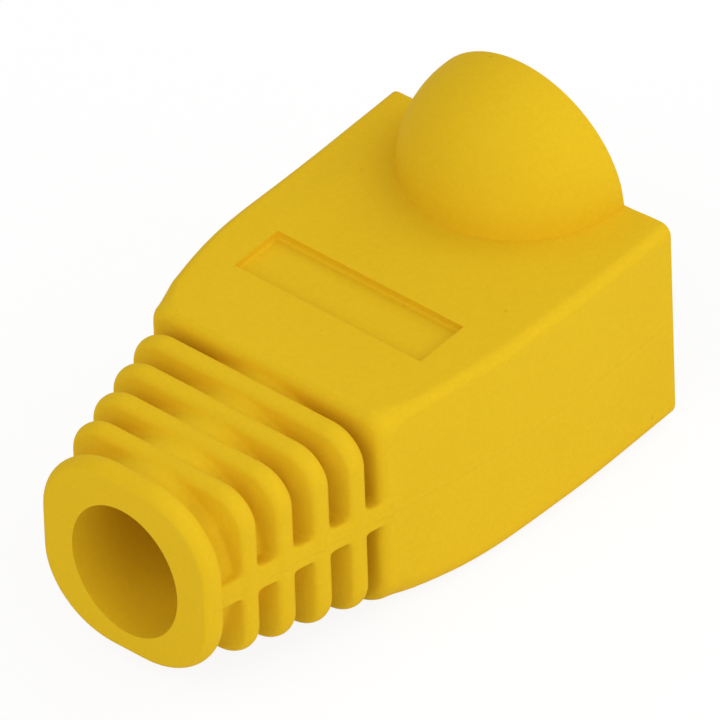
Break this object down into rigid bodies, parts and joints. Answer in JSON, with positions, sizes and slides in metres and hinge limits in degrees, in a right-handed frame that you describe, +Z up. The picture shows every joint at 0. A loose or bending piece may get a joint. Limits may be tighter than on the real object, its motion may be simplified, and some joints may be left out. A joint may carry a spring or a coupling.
{
  "type": "rj45 strain relief boot",
  "caption": "Soft strain relief boot for a modular network plug: ribbed bend-relief tail with a cable bore, tapered body with a plug socket, and a round hood over the latch.",
  "frame": {"origin": "centre of the cable bore, in the end face where the cable leaves", "axes": "+X across the boot, +Y along the cable towards the plug, +Z up towards the latch hood"},
  "size_m": [0.014, 0.0236, 0.014],
  "materials": {
    "soft_pvc": "satin moulded, very fine grain"
  },
  "bodies": {
    "root": {"boot": "soft_pvc"}
  },
  "joints": []
}
